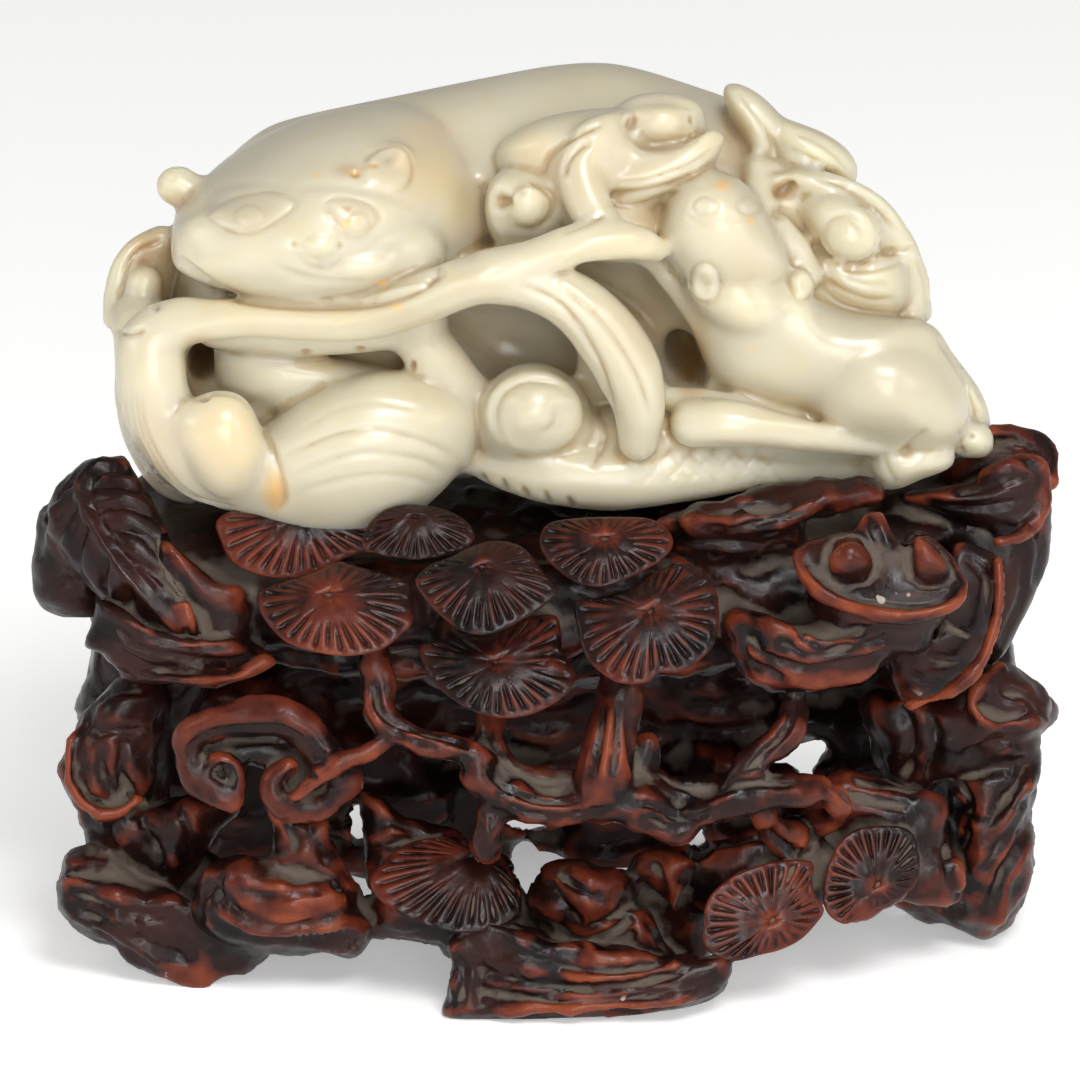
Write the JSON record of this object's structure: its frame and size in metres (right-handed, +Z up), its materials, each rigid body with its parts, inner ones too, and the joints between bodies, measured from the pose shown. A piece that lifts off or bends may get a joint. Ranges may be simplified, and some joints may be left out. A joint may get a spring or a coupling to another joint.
{
  "type": "jade lion-dog carving on stand",
  "caption": "Carved jade lion-dog with its pup, resting in the seat of an openwork hardwood stand of pine branches, leaves and rocks.",
  "frame": {"origin": "centre of the whole object's bounding box, at the level of the stand's feet", "axes": "+X along the length, to the right as seen from the front; +Y away from the viewer; +Z up; the front looks along -Y"},
  "size_m": [0.1022, 0.0672, 0.089],
  "materials": {
    "jade": "pale cream-green jade with a soft waxy polish",
    "wood": "dark red-brown lacquered hardwood, worn to orange-red on the edges, dusty in the hollows"
  },
  "bodies": {
    "root": {"jade_lion_dogs": "jade", "wood_stand": "wood"}
  },
  "joints": []
}
